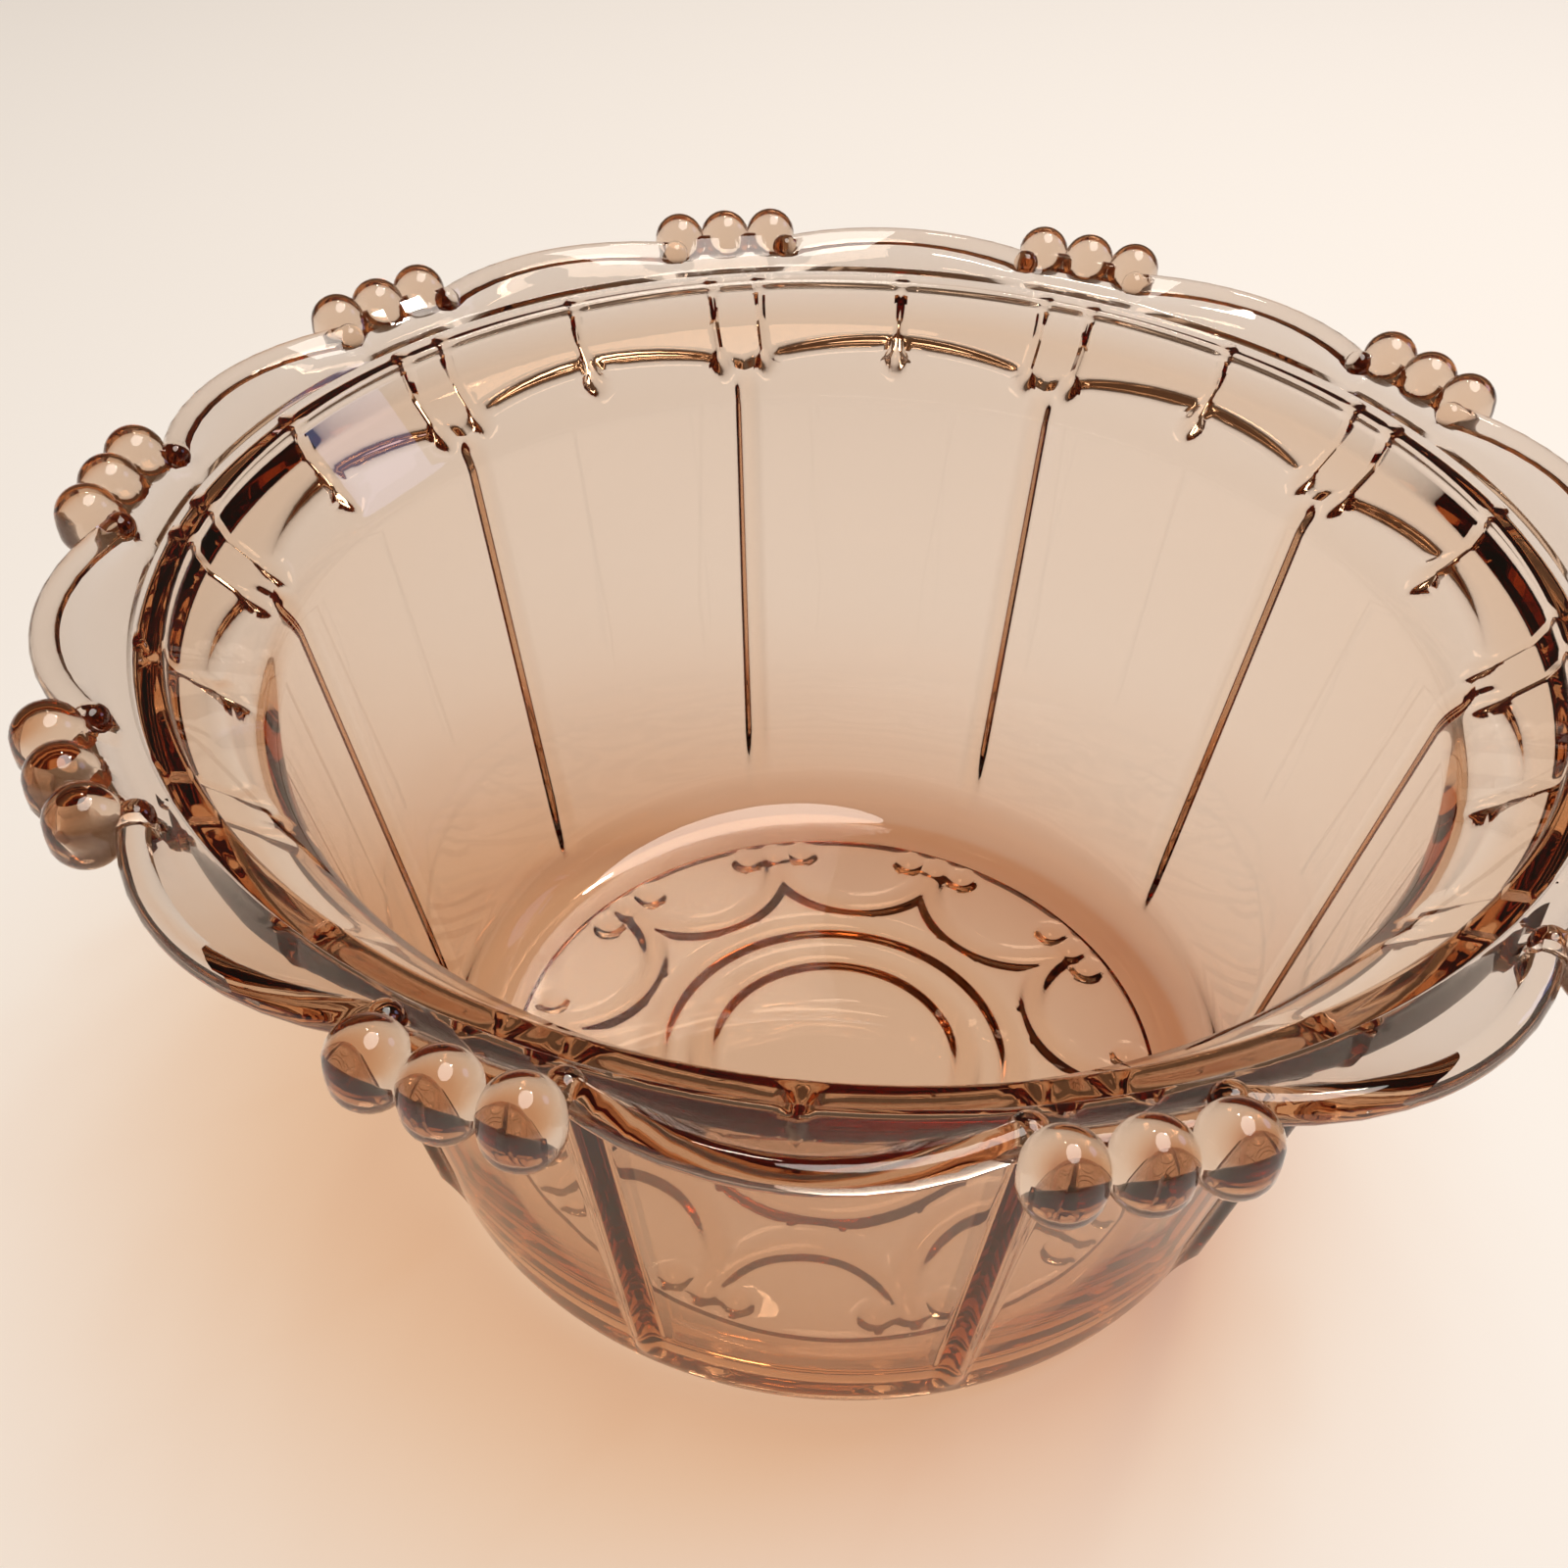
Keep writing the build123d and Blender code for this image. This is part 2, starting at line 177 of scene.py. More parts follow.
class DishSettings(bpy.types.PropertyGroup):
    """Sizes and colour of the dish"""

    foot_r: length("Foot radius", "Outer wall line carried down to the table", 51.4)
    bend_r: length("Bend radius", "Outer radius where the wall meets the shoulder", 65.7)
    bend_z: length("Bend height", "Height of the bend outside", 66.8)
    bend_round: length("Bend rounding", "Rounding of the bend outside", 8.0)
    wall: length("Wall", "Glass thickness measured level", 3.8)
    heel_r: length("Heel rounding", "Rounding between wall and standing ring", 8.0)
    recess_r: length("Recess radius", "Inner radius of the standing ring", 42.5)
    recess_z: length("Recess height", "Height of the underside inside the standing ring", 1.5)
    floor_z: length("Floor height", "Height of the inside floor", 5.2)
    inner_bend_r: length("Inner bend radius", "Inside radius where the wall meets the shoulder", 62.4)
    inner_bend_z: length("Inner bend height", "Height of the bend inside", 69.0)
    seat_in_r: length("Seat inner radius", "Inner edge of the lid seat", 71.4)
    seat_out_r: length("Seat outer radius", "Outer edge of the lid seat", 74.45)
    seat_z: length("Seat height", "Level of the lid seat", 80.2)
    neck_z: length("Neck height", "Lower end of the upright face under the seat", 78.6)
    rim_under_z: length("Rim underside", "Underside of the rim at the seat's outer edge", 78.3)
    flange_in_z: length("Flange height", "Top of the flange at its inner edge", 80.9)
    roll_r: length("Roll radius", "Half thickness of the rolled edge", 1.5)
    roll_z: length("Roll height", "Mid height of the rolled edge", 82.1)
    scallop_r: length("Scallop radius", "Radius of the line that a scallop's edge follows", 27.8)
    land_r: length("Land radius", "Rim outline behind a bead group", 81.0)
    bead_circle_r: length("Bead circle", "Circle through the rim beads", 82.0)
    bead_z: length("Bead height", "Height of the beads' mid-plane", 82.0)
    bead_r: length("Bead radius", "Radius of a rim bead", 3.35)
    bead_straight: length("Bead middle", "Straight middle of a rim bead", 1.2)
    bead_step: angle("Bead step", "Angle between beads in a group", 4.5)
    end_ball_r: length("End ball", "Radius of the ball where a rolled edge ends", 1.75)
    rib_r: length("Rib radius", "Half width of a wall rib", 1.7)
    rib_low_z: length("Rib foot", "Height where a rib starts", 9.0)
    rib_high_z: length("Rib top", "Height where a rib ends", 68.2)
    band_low_r: length("Band foot", "Outer radius of the arched band at its foot", 68.0)
    knee_r: length("Band knee radius", "Radius where the band's face turns upright", 73.7)
    knee_z: length("Band knee height", "Height where the band's face turns upright", 72.6)
    band_top_r: length("Band top", "Radius of the band's face under the flange", 74.2)
    arch_top_z: length("Arch crown", "Crown of the arch above each panel", 71.3)
    arch_foot_z: length("Arch foot", "Where two arches meet above a rib", 69.2)
    stem_offset: angle("Stem offset", "Angle of the paired stems from the rib", 2.55)
    stem_low_z: length("Stem foot", "Height of the drop at the stem's foot", 69.7)
    ring_in_r: length("Inner ring", "Radius of the inner raised ring under the floor", 17.7)
    ring_out_r: length("Outer ring", "Radius of the outer raised ring under the floor", 24.1)
    star_point_r: length("Star points", "Radius that the star's points reach", 39.4)
    star_valley_r: length("Star valleys", "Radius where the star's sides dip", 28.5)
    glass_tint: colour("Glass tint", "Share of each colour that the glass lets through", (0.82, 0.53, 0.22))
    glass_depth: bpy.props.FloatProperty(
        name="Glass depth", description="Strength of the tint for each metre of glass",
        default=125.0, min=0.0,
    )


class StageSettings(bpy.types.PropertyGroup):
    """Colours of the floor and the room"""

    floor_colour: colour("Floor", "Colour of the floor", linear("#F0EFED")[:3])
    room_colour: colour("Room", "Colour of the light from all round", linear("#C9AC95")[:3])
    room_strength: bpy.props.FloatProperty(
        name="Room light", description="Strength of the light from all round", default=0.24, min=0.0,
    )


def plain_sizes(settings):
    """The dish's settings as plain numbers: lengths in millimetres, angles in degrees.
    Each is rounded to four places and held in single precision, as a setting is."""
    sizes = {}
    for name in DishSettings.__annotations__:
        unit = settings.bl_rna.properties[name].unit
        if unit == "LENGTH":
            sizes[name] = float(np.float32(round(getattr(settings, name) / MM, 4)))
        elif unit == "ROTATION":
            sizes[name] = float(np.float32(round(math.degrees(getattr(settings, name)), 4)))
    return SimpleNamespace(**sizes)


def smooth(value, low, high):
    """Smooth step from 0 at low to 1 at high."""
    t = np.clip((value - low) / (high - low), 0.0, 1.0)
    return t * t * (3.0 - 2.0 * t)


def bump(distance, half_width):
    """Soft ridge of height 1 at distance 0 that fades to 0 at half_width."""
    t = np.clip(np.abs(distance) / half_width, 0.0, 1.0)
    return (1.0 - t * t) ** 2


def dome(distance, radius, soft):
    """Round-topped bump of height 1. soft is the share of it that has an eased foot."""
    t = np.clip(np.abs(distance) / radius, 0.0, 1.0)
    return np.sqrt(np.maximum(1.0 - t * t, 0.0)) * (1.0 - soft) + soft * (1.0 - t * t) ** 2


def fillet(before, corner, after, radius, steps):
    """Points of the arc that rounds a corner of the profile."""
    p, c, n = (np.array(x, float) for x in (before, corner, after))
    u = (p - c) / np.linalg.norm(p - c)
    v = (n - c) / np.linalg.norm(n - c)
    half = math.acos(float(np.clip(u @ v, -1, 1))) / 2
    bisector = (u + v) / np.linalg.norm(u + v)
    centre = c + bisector * radius / math.sin(half)
    start = c + u * radius / math.tan(half)
    end = c + v * radius / math.tan(half)
    first = math.atan2(*(start - centre)[::-1])
    last = math.atan2(*(end - centre)[::-1])
    turn = (last - first + math.pi) % (2 * math.pi) - math.pi
    angles = first + turn * np.linspace(0, 1, steps + 1)
    return [tuple(centre + radius * np.array((math.cos(a), math.sin(a)))) for a in angles]


def straight(start, end, step):
    """Points between two profile points, without the two ends."""
    a, b = np.array(start, float), np.array(end, float)
    count = max(1, int(round(np.linalg.norm(b - a) / step)))
    return [tuple(a + (b - a) * k / count) for k in range(1, count)]


def outer_rows(p):
    """Profile rows from the middle of the underside, out and up to the flange."""
    recess = (p.recess_r, p.recess_z)
    ring_in = (p.recess_r + RECESS_RUN, 0.0)
    foot = (p.foot_r, 0.0)
    bend = (p.bend_r, p.bend_z)
    under = (p.seat_out_r, p.rim_under_z)
    heel = fillet(ring_in, foot, bend, p.heel_r, LONG_ARC_STEPS)
    shoulder = fillet(foot, bend, under, p.bend_round, LONG_ARC_STEPS)
    relief = np.arange(RELIEF_START_R, p.recess_r - RELIEF_END_GAP, RELIEF_ROW_STEP)
    return [
        (UNDER, [(r, p.recess_z) for r in CLEAR_RADII]),
        (UNDER, [(r, p.recess_z) for r in relief]),
        (UNDER, fillet((RECESS_LINE_R, p.recess_z), recess, ring_in, RECESS_ROUND, 2)),
        (HEEL, fillet(recess, ring_in, (RING_LINE_R, 0.0), RECESS_ROUND, 2)),
        (HEEL, heel),
        (WALL, straight(heel[-1], shoulder[0], WALL_ROW_STEP)),
        (SHOULDER, shoulder),
        (SHOULDER, straight(shoulder[-1], under, SHOULDER_ROW_STEP)),
        (SHOULDER, [under]),
    ]


def rim_rows(p):
    """Profile rows of the flange, its rolled edge and the step down to the seat."""
    roll = []
    for k in range(ROLL_POINTS):
        a = math.radians(-ROLL_HALF_TURN + 2 * ROLL_HALF_TURN * k / (ROLL_POINTS - 1))
        roll.append((
            p.bead_circle_r - ROLL_INSET + p.roll_r * math.cos(a),
            p.roll_z + p.roll_r * math.sin(a),
        ))
    step_top = (p.seat_out_r + STEP_OUT, p.flange_in_z)
    step_low = (p.seat_out_r - STEP_IN, p.seat_z)
    run_in = (p.seat_out_r + STEP_RUN, p.flange_in_z + TOP_RISE * STEP_RUN)
    seat = (p.seat_in_r, p.seat_z)
    return [
        (FLANGE_UNDER, [(p.seat_out_r + t, p.rim_under_z + UNDER_RISE * t) for t in UNDER_RUNS]),
        (ROLL, roll),
        (FLANGE_TOP, [(p.seat_out_r + t, p.flange_in_z + TOP_RISE * t) for t in TOP_RUNS]),
        (SEAT, fillet(run_in, step_top, step_low, STEP_TOP_ROUND, 3)),
        (SEAT, fillet(step_top, step_low, seat, STEP_FOOT_ROUND, 2)),
    ]


def inner_rows(p):
    """Profile rows from the seat's inner edge down to the middle of the inside floor."""
    step_low = (p.seat_out_r - STEP_IN, p.seat_z)
    lip = (p.seat_in_r, p.seat_z)
    neck = (p.seat_in_r, p.neck_z)
    inner_bend = (p.inner_bend_r, p.inner_bend_z)
    slope = (p.bend_r - p.foot_r) / p.bend_z
    floor_corner = (p.foot_r + slope * p.floor_z - p.wall, p.floor_z)
    floor_arc = fillet(inner_bend, floor_corner, (0.0, p.floor_z), FLOOR_ROUND, 10)
    halfway = tuple((np.array(floor_arc[0]) + np.array(inner_bend)) / 2)
    return [
        (INSIDE, fillet(step_low, lip, neck, LIP_ROUND, 6)),
        (INSIDE, fillet(lip, neck, inner_bend, NECK_ROUND, 4)),
        (INSIDE, fillet(neck, inner_bend, floor_corner, INNER_BEND_ROUND, 6)),
        (INSIDE, [halfway]),
        (INSIDE, floor_arc),
        (INSIDE, [(FLOOR_ROW_R, p.floor_z), (0.0, p.floor_z)]),
    ]


def dish_profile(p):
    """Profile of the turned glass, as radius, height and zone of each point."""
    runs = outer_rows(p) + rim_rows(p) + inner_rows(p)
    return [(r, z, zone) for zone, points in runs for r, z in points]


def arch_height(theta, p):
    """Height of the arched band's lower edge at an angle from the nearest bead group."""
    from_middle = HALF_PITCH - np.abs(theta)
    return p.arch_foot_z + (p.arch_top_z - p.arch_foot_z) * (1.0 - (from_middle / HALF_PITCH) ** 2)


def shoulder_radius(base, nominal, height, theta, p):
    """Outer radius of the shoulder with its arched band, stems and drops.
    base is the plain shoulder's radius, and nominal the row's height before it follows the arch."""
    slope = (p.knee_r - p.band_low_r) / (p.knee_z - p.arch_foot_z + BAND_FOOT_DROP)
    sloping = p.knee_r + (height - p.knee_z) * slope
    upright = p.knee_r + (height - p.knee_z) * (p.band_top_r - p.knee_r) / (p.rim_under_z - p.knee_z)
    apart = np.abs(sloping - upright)
    face = np.minimum(sloping, upright) - KNEE_EASE * np.log1p(np.exp(-apart / KNEE_EASE))
    face = np.maximum(face, base)
    outer = base + (face - base) * smooth(nominal, ARCH_ROW - BAND_EDGE, ARCH_ROW + BAND_EDGE)
    run = smooth(height, p.stem_low_z - STEM_FADE, p.stem_low_z + STEM_FADE)
    for place in (p.stem_offset, HALF_PITCH):
        beside = base * np.radians(np.abs(theta) - place)
        stem = base + (face + STEM_LIFT - base) * bump(beside, STEM_HALF) * run
        reach = np.hypot(beside, height - p.stem_low_z)
        drop = base + DROP_LIFT * bump(reach, DROP_REACH)
        outer = np.maximum(np.maximum(outer, stem), drop)
    return outer


def star_distance(radius, theta, p):
    """Distance from a point under the floor to the star's ridge."""
    half_chord = p.star_point_r * math.sin(math.radians(HALF_PITCH))
    dip = p.star_point_r * math.cos(math.radians(HALF_PITCH)) - p.star_valley_r
    arc = (half_chord ** 2 + dip ** 2) / (2 * dip)
    around = np.radians(HALF_PITCH - np.abs(theta))
    x = radius * np.cos(around) - (p.star_valley_r + arc)
    y = radius * np.sin(around)
    inside = radius < p.star_point_r + STAR_END_GAP
    return np.where(inside, np.abs(np.hypot(x, y) - arc), FAR_OFF)


def relief_height(zone, radius, height, theta, p):
    """How far the glass stands proud of the turned body.
    theta is the angle from the nearest bead group, up to half a repeat each way."""
    under = RIDGE_LIFT * bump(star_distance(radius, theta, p), STAR_HALF)
    for ring in (p.ring_in_r, p.ring_out_r):
        under = np.maximum(under, RIDGE_LIFT * bump(radius - ring, RING_HALF))
    for step in BASE_BALL_STEPS:
        x = radius * np.cos(np.radians(theta)) - p.star_point_r * math.cos(math.radians(step))
        y = radius * np.sin(np.radians(theta)) - p.star_point_r * math.sin(math.radians(step))
        ball = dome(np.hypot(x, y), BASE_BALL_R, BASE_BALL_SOFT)
        under = np.maximum(under, BASE_BALL_LIFT * ball)

    along = radius * np.radians(theta)
    foot = smooth(height, p.rib_low_z + RIB_FOOT_FADE[0], p.rib_low_z + RIB_FOOT_FADE[1])
    top = smooth(height, p.rib_high_z + RIB_TOP_FADE[0], p.rib_high_z + RIB_TOP_FADE[1])
    ends = foot * (1 - top)
    rib = RIB_LIFT * p.rib_r * bump(along, p.rib_r * RIB_SPREAD) * ends
    wall = (zone == WALL) | (zone == SHOULDER) | (zone == HEEL)
    return np.where(zone == UNDER, under, np.where(wall, rib, 0.0))


def column_angles():
    """Angles of one full turn of columns, spaced for the relief."""
    one = list(HALF_COLUMNS) + [PITCH - a for a in HALF_COLUMNS[-2:0:-1]]
    return np.array([PITCH * k + a for k in range(REPEATS) for a in one])


def scallop_edge(theta, p):
    """Radius of the rolled edge's middle line, and its outward direction's parts
    away from the axis and round it, at angles from the bead group."""
    psi = np.radians(HALF_PITCH - np.abs(theta))
    side = np.sign(theta) + (theta == 0)
    centre = p.bead_circle_r - p.scallop_r
    chord = np.sqrt(np.maximum(p.scallop_r ** 2 - (centre * np.sin(psi)) ** 2, 0))
    arc_r = centre * np.cos(psi) + chord
    x, y = arc_r * np.cos(psi) - centre, arc_r * np.sin(psi)
    reach = np.hypot(x, y)
    out = (x * np.cos(psi) + y * np.sin(psi)) / reach
    turn = -side * (y * np.cos(psi) - x * np.sin(psi)) / reach
    land = 1 - smooth(np.abs(theta), *LAND_FADE)
    radius = arc_r * (1 - land) + (p.land_r - LAND_INSET) * land
    out = out * (1 - land) + land
    turn = turn * (1 - land)
    norm = np.hypot(out, turn)
    return radius, out / norm, turn / norm


def deselect():
    bpy.ops.object.select_all(action="DESELECT")


def activate(obj):
    deselect()
    obj.select_set(True)
    bpy.context.view_layer.objects.active = obj


def spin_profile(rows, name):
    """Draws the profile edge by edge and spins it round the axis in even steps."""
    deselect()
    bpy.ops.mesh.primitive_plane_add(size=0.01)
    obj = bpy.context.object
    obj.name = obj.data.name = name
    bpy.ops.object.mode_set(mode="EDIT")
    bpy.ops.mesh.select_all(action="SELECT")
    bpy.ops.mesh.merge(type="CENTER")
    here = Vector((rows[0][0] * MM, 0, rows[0][1] * MM))
    bpy.ops.transform.translate(value=here)
    for r, z, _ in rows[1:]:
        there = Vector((r * MM, 0, z * MM))
        bpy.ops.mesh.extrude_region_move(TRANSFORM_OT_translate={"value": there - here})
        here = there
    bpy.ops.mesh.select_all(action="SELECT")
    bpy.ops.mesh.spin(steps=COLUMNS, angle=2 * math.pi, center=(0, 0, 0), axis=(0, 0, 1))
    bpy.ops.mesh.select_all(action="SELECT")
    bpy.ops.mesh.remove_doubles(threshold=MERGE_DISTANCE)
    bpy.ops.object.mode_set(mode="OBJECT")
    return obj


def read_points(obj):
    co = np.empty(len(obj.data.vertices) * 3)
    obj.data.vertices.foreach_get("co", co)
    return co.reshape(-1, 3)


def write_points(obj, co):
    obj.data.vertices.foreach_set("co", co.ravel())
    obj.data.update()


def nearest_row(radius, height, rows):
    """Index of the profile point that each spun vertex came from."""
    table = np.array([(r, z) for r, z, _ in rows])
    keys = {(round(r, 2), round(z, 2)): k for k, (r, z) in enumerate(table)}
    found = np.empty(len(radius), int)
    for k, (r, z) in enumerate(zip(radius, height)):
        hit = keys.get((round(r, 2), round(z, 2)))
        if hit is None:
            hit = int(np.argmin(np.hypot(table[:, 0] - r, table[:, 1] - z)))
        found[k] = hit
    return found


def row_normals(rows):
    """Outward direction of the profile at each of its points."""
    table = np.array([(r, z) for r, z, _ in rows])
    tangent = np.gradient(table, axis=0)
    tangent /= np.linalg.norm(tangent, axis=1)[:, None]
    return np.stack([tangent[:, 1], -tangent[:, 0]], axis=1)


def spaced_angles(co, zones, height):
    """Angle of each spun vertex, shifted from even columns to columns spaced for the relief."""
    turn = np.degrees(np.arctan2(co[:, 1], co[:, 0])) % 360
    column = np.round(turn / EVEN_STEP).astype(int) % COLUMNS
    even = column * EVEN_STEP
    dense = column_angles()[column]
    share = np.where(zones == HEEL, smooth(height, *HEEL_SPREAD), 1.0)
    share = np.where(zones == UNDER, 0.0, share)
    share = np.where(zones == INSIDE, 1 - smooth(MOUTH_Z - height, *INSIDE_SPREAD), share)
    return even + (dense - even) * share


def press_relief(obj, rows, p):
    """Raises the relief on the spun body and draws its rim out to the scallops."""
    co = read_points(obj) / MM
    radius, height = np.hypot(co[:, 0], co[:, 1]), co[:, 2]
    row = nearest_row(radius, height, rows)
    zones = np.array([zone for _, _, zone in rows])[row]
    normals = row_normals(rows)[row]
    turn = spaced_angles(co, zones, height)
    theta = (turn + HALF_PITCH) % PITCH - HALF_PITCH

    outside = [(z, r) for r, z, zone in rows if zone in (WALL, SHOULDER)]
    levels, radii = np.array(outside).T
    shoulder = zones == SHOULDER
    nominal = height.copy()
    moved = [ARCH_MOVE[0], ARCH_ROW - ARCH_ROW_HALF, ARCH_ROW + ARCH_ROW_HALF, ARCH_MOVE[1]]
    follow = np.interp(nominal, moved, [0, 1, 1, 0])
    arched = height + follow * (arch_height(theta, p) - ARCH_ROW)
    height = np.where(shoulder, arched, height)
    radius = np.where(shoulder, np.interp(height, levels, radii), radius)
    banded = shoulder_radius(radius, nominal, height, theta, p)

    lift = relief_height(zones, radius, height, theta, p)
    radius = radius + normals[:, 0] * lift
    height = height + normals[:, 1] * lift
    radius = np.where(shoulder, np.maximum(radius, banded), radius)
    x = radius * np.cos(np.radians(turn))
    y = radius * np.sin(np.radians(turn))

    edge_r, edge_out, edge_turn = scallop_edge(theta, p)
    pick = zones == ROLL
    a = np.radians(turn[pick])
    reach = radius[pick] - (p.bead_circle_r - ROLL_INSET)
    r = edge_r[pick] + reach * edge_out[pick]
    t = reach * edge_turn[pick]
    x[pick] = r * np.cos(a) - t * np.sin(a)
    y[pick] = r * np.sin(a) + t * np.cos(a)
    faces = ((FLANGE_UNDER, p.rim_under_z, UNDER_RISE), (FLANGE_TOP, p.flange_in_z, TOP_RISE))
    for zone, level, rise in faces:
        pick = zones == zone
        a = np.radians(turn[pick])
        share = (radius[pick] - p.seat_out_r) / FLANGE_SPAN
        r = p.seat_out_r + share * (edge_r[pick] - FLANGE_TUCK - p.seat_out_r)
        x[pick], y[pick] = r * np.cos(a), r * np.sin(a)
        height[pick] = level + rise * (r - p.seat_out_r)
    write_points(obj, np.stack([x, y, height], axis=1) * MM)


def add_ball(circle_r, z, turn, radius, middle, faces):
    """Ball at an angle round the dish, with a straight middle of the given height.
    Its place is in its mesh."""
    deselect()
    segments, rings = faces
    bpy.ops.mesh.primitive_uv_sphere_add(segments=segments, ring_count=rings, radius=radius * MM)
    ball = bpy.context.object
    co = read_points(ball)
    co[:, 2] += np.clip(co[:, 2] / (BALL_MIDDLE * radius * MM), -1, 1) * (middle / 2) * MM
    a = math.radians(turn)
    spot = np.array((circle_r * math.cos(a), circle_r * math.sin(a), z))
    write_points(ball, co + spot * MM)
    return ball


def unite(body, balls, name):
    """Fuses a set of balls that don't touch each other into the body."""
    deselect()
    for ball in balls:
        ball.select_set(True)
    bpy.context.view_layer.objects.active = balls[0]
    bpy.ops.object.join()
    tool = bpy.context.object
    tool.name = name
    activate(body)
    modifier = body.modifiers.new(name, "BOOLEAN")
    modifier.operation = "UNION"
    modifier.solver = "MANIFOLD"
    modifier.object = tool
    bpy.ops.object.modifier_apply(modifier=modifier.name)
    bpy.data.objects.remove(tool, do_unlink=True)


def add_node(tree, kind, settings=None, links=None):
    """Adds a shader node, sets its sockets or properties, and links sockets into it."""
    node = tree.nodes.new(kind)
    for key, value in (settings or {}).items():
        if key in node.inputs:
            node.inputs[key].default_value = value
        else:
            setattr(node, key, value)
    for key, source in (links or {}).items():
        tree.links.new(source, node.inputs[key])
    return node


def new_material(name):
    """An empty node material."""
    material = bpy.data.materials.new(name)
    material.use_nodes = True
    material.node_tree.nodes.clear()
    return material


def glass_material(settings):
    """Pink soda-lime glass, pressed in a mould and fire-polished."""
    # A smooth clear body gives sharp glints, and its colour comes only from its depth, so thick
    # parts are browner. Lamps and the light from the floor pass it without being bent.
    material = new_material("pink_soda_lime_glass")
    tree = material.node_tree
    glass = add_node(tree, "ShaderNodeBsdfPrincipled", {
        "Base Color": linear("#EFEDEE"), "Roughness": 0.0, "IOR": 1.51, "Transmission Weight": 1.0,
    })
    clear = add_node(tree, "ShaderNodeBsdfTransparent", {"Color": linear("#FEFBF9")})
    path = add_node(tree, "ShaderNodeLightPath")
    lamps = add_node(tree, "ShaderNodeMixShader", links={
        0: path.outputs["Is Shadow Ray"], 1: glass.outputs[0], 2: clear.outputs[0],
    })
    spill = add_node(tree, "ShaderNodeMixShader", links={
        0: path.outputs["Is Diffuse Ray"], 1: lamps.outputs[0], 2: clear.outputs[0],
    })
    depth = add_node(tree, "ShaderNodeVolumeAbsorption", {
        "Color": (*settings.glass_tint, 1.0), "Density": settings.glass_depth,
    })
    add_node(tree, "ShaderNodeOutputMaterial", links={
        "Surface": spill.outputs[0], "Volume": depth.outputs[0],
    })
    return material


def floor_material(settings):
    """Cream emulsion paint."""
    # Dead matt, so the floor shows soft shade under the dish and no reflection of it.
    material = new_material("cream_emulsion_paint")
    tree = material.node_tree
    matt = add_node(tree, "ShaderNodeBsdfPrincipled", {
        "Base Color": (*settings.floor_colour, 1.0), "Roughness": 0.9, "Specular IOR Level": 0.1,
    })
    add_node(tree, "ShaderNodeOutputMaterial", links={"Surface": matt.outputs[0]})
    return material


class DISH_OT_glass(bpy.types.Operator):
    """Turn, press and bead the glass dish"""

    bl_idname = "dish.glass"
    bl_label = "Glass dish"

    def execute(self, context):
        settings = context.scene.dish_settings
        p = plain_sizes(settings)
        rows = dish_profile(p)
        dish = spin_profile(rows, "glass_dish")
        press_relief(dish, rows, p)
        activate(dish)
        bpy.ops.object.mode_set(mode="EDIT")
        bpy.ops.mesh.select_all(action="SELECT")
        bpy.ops.mesh.normals_make_consistent(inside=False)
        bpy.ops.object.mode_set(mode="OBJECT")

        groups = [k * PITCH for k in range(REPEATS)]
        bead = (p.bead_r, p.bead_straight, BEAD_FACES)
        beads = (("middle_beads", 0.0), ("left_beads", -p.bead_step), ("right_beads", p.bead_step))
        for label, turn in beads:
            row = [add_ball(p.bead_circle_r, p.bead_z, group + turn, *bead) for group in groups]
            unite(dish, row, label)
        end = (p.end_ball_r, 0.0, END_BALL_FACES)
        turns = [group + side * END_BALL_TURN for group in groups for side in (-1, 1)]
        ends = [add_ball(END_BALL_CIRCLE_R, p.roll_z, turn, *end) for turn in turns]
        unite(dish, ends, "end_balls")

        activate(dish)
        bpy.ops.object.shade_smooth_by_angle(angle=math.radians(SHARP_ANGLE))
        dish.data.materials.clear()
        dish.data.materials.append(glass_material(settings))
        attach(dish, "root")
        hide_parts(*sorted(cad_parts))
        return {"FINISHED"}


def add_softbox(name, at, towards, size, watts, tint):
    """Oval area lamp that points at a place."""
    data = bpy.data.lights.new(name, "AREA")
    data.shape = "ELLIPSE"
    data.size, data.size_y = size
    data.energy = watts
    data.color = linear(tint)[:3]
    lamp = bpy.data.objects.new(name, data)
    bpy.context.scene.collection.objects.link(lamp)
    lamp.location = at
    lamp.rotation_euler = (Vector(towards) - Vector(at)).to_track_quat("-Z", "Y").to_euler()


def add_camera(scene):
    """Camera above and in front of the dish, looking down into it."""
    data = bpy.data.cameras.new("camera")
    data.sensor_width = CAMERA_SENSOR
    data.lens = CAMERA_LENS
    data.clip_start = CAMERA_NEAR
    camera = bpy.data.objects.new("camera", data)
    scene.collection.objects.link(camera)
    right, up = Vector(CAMERA_RIGHT), Vector(CAMERA_UP)
    turn = Matrix((right, up, right.cross(up))).transposed().to_4x4()
    camera.matrix_world = Matrix.Translation(CAMERA_AT) @ turn
    scene.camera = camera


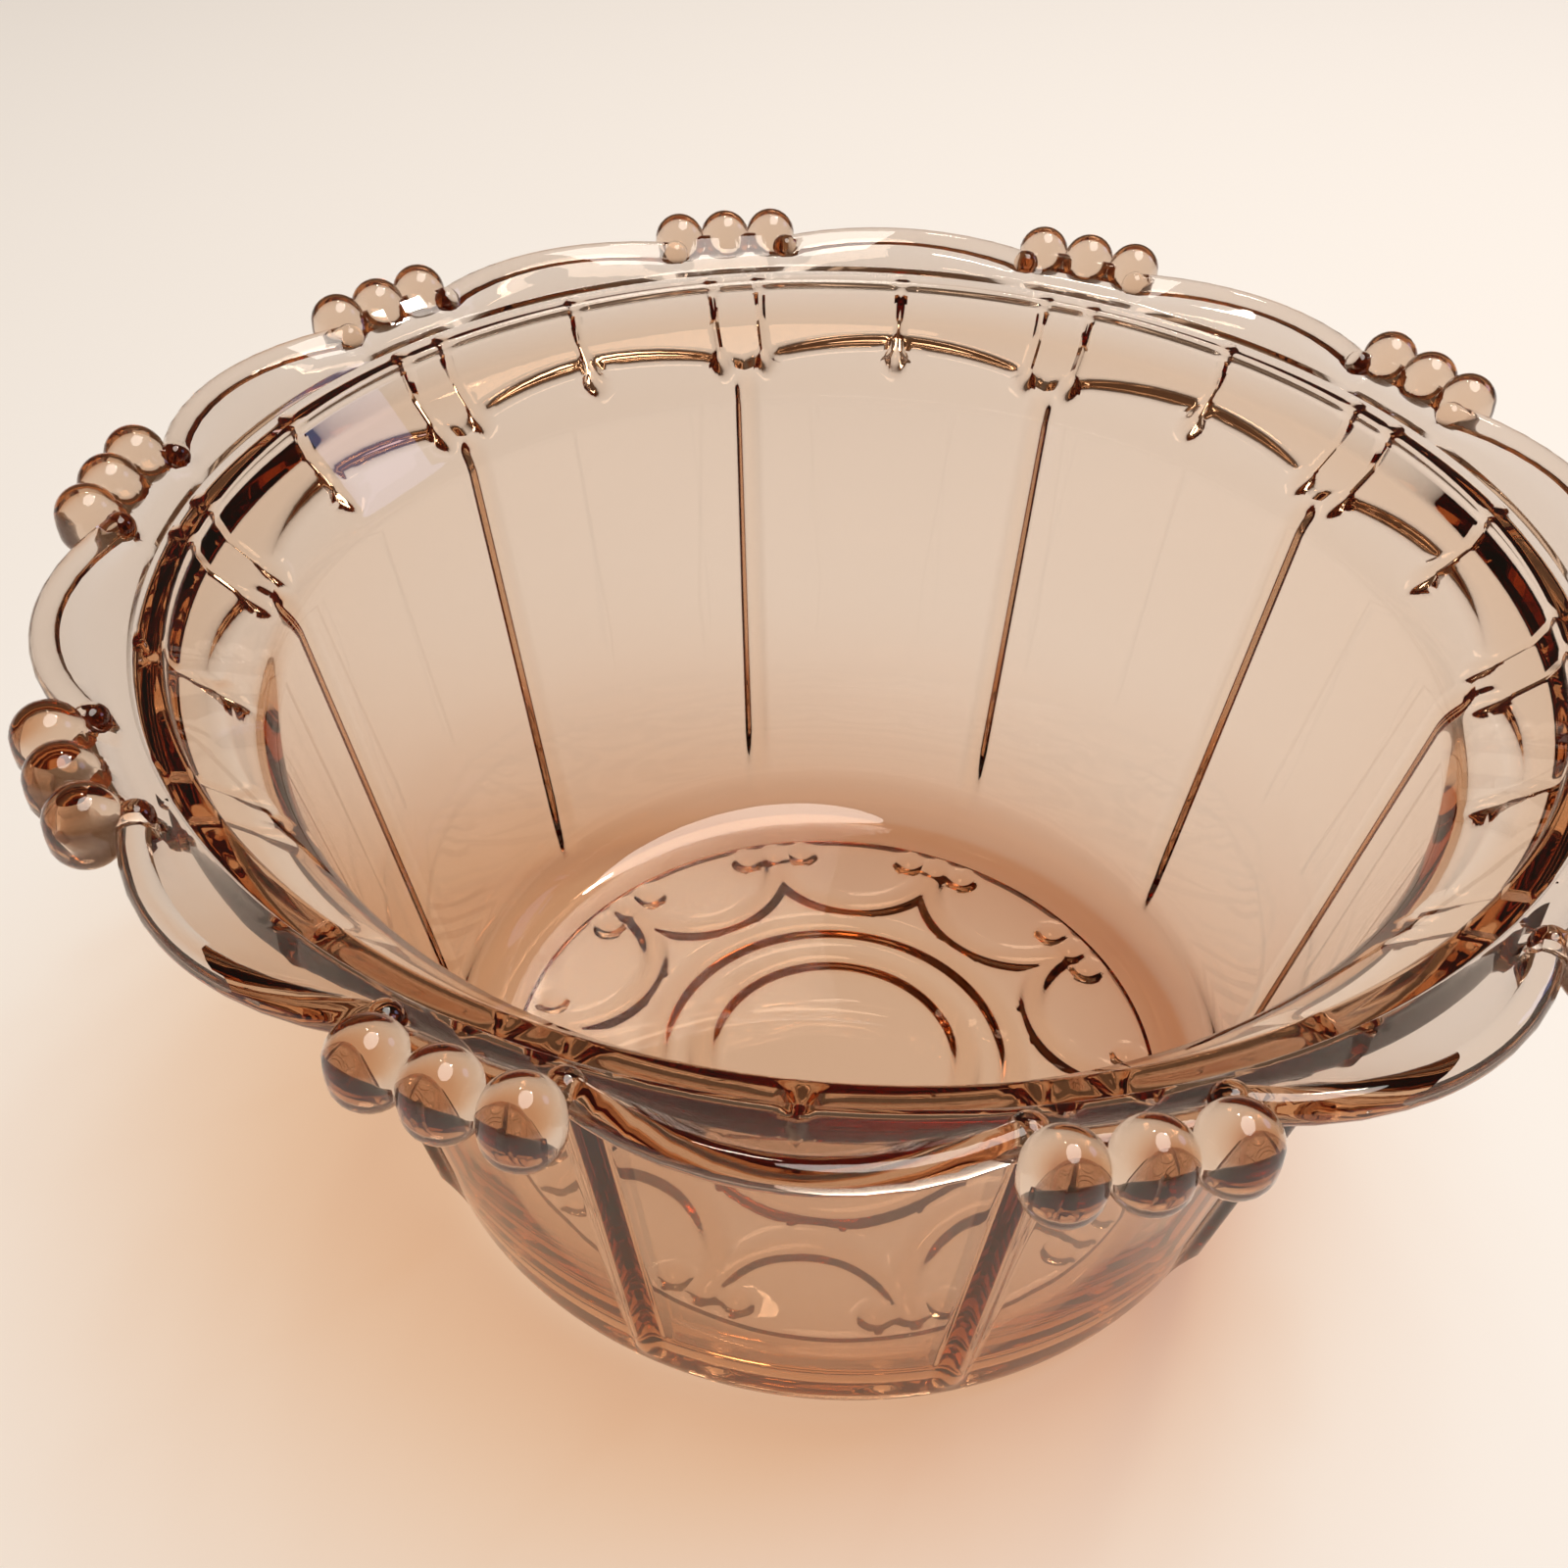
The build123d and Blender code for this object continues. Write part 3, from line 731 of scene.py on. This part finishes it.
class DISH_OT_stage(bpy.types.Operator):
    """Add the floor, the studio lamps and the camera"""

    bl_idname = "dish.stage"
    bl_label = "Stage"

    def execute(self, context):
        scene = context.scene
        settings = scene.stage_settings
        deselect()
        bpy.ops.mesh.primitive_circle_add(
            vertices=96, radius=FLOOR_RADIUS, fill_type="NGON", location=(0, 0, -FLOOR_GAP),
        )
        floor = context.object
        floor.name = "floor"
        floor.data.materials.append(floor_material(settings))

        world = bpy.data.worlds.new("studio")
        scene.world = world
        world.use_nodes = True
        background = world.node_tree.nodes["Background"]
        background.inputs["Color"].default_value = (*settings.room_colour, 1.0)
        background.inputs["Strength"].default_value = settings.room_strength

        for lamp in LAMPS:
            add_softbox(*lamp)
        add_camera(scene)

        # Light goes round inside the rim many times before it leaves the glass.
        scene.view_settings.view_transform = "Standard"
        scene.cycles.max_bounces = 32
        scene.cycles.glossy_bounces = 24
        scene.cycles.transmission_bounces = 24
        scene.cycles.transparent_max_bounces = 24
        scene.cycles.caustics_refractive = False
        scene.cycles.caustics_reflective = False
        return {"FINISHED"}


class DISH_PT_panel(bpy.types.Panel):
    """Sidebar panel with the two operators and their settings"""

    bl_label = "Candy Dish"
    bl_space_type = "VIEW_3D"
    bl_region_type = "UI"
    bl_category = "Candy Dish"

    def draw(self, context):
        pairs = (
            (DISH_OT_glass, DishSettings, context.scene.dish_settings),
            (DISH_OT_stage, StageSettings, context.scene.stage_settings),
        )
        for operator, group, settings in pairs:
            self.layout.operator(operator.bl_idname)
            for name in group.__annotations__:
                self.layout.prop(settings, name)


CLASSES = (DishSettings, StageSettings, DISH_OT_glass, DISH_OT_stage, DISH_PT_panel)


def register():
    for cls in CLASSES:
        bpy.utils.register_class(cls)
    bpy.types.Scene.dish_settings = bpy.props.PointerProperty(type=DishSettings)
    bpy.types.Scene.stage_settings = bpy.props.PointerProperty(type=StageSettings)


def unregister():
    del bpy.types.Scene.stage_settings
    del bpy.types.Scene.dish_settings
    for cls in reversed(CLASSES):
        bpy.utils.unregister_class(cls)


def main():
    register()
    bpy.ops.dish.glass()
    bpy.ops.dish.stage()


if __name__ == "__main__":
    main()
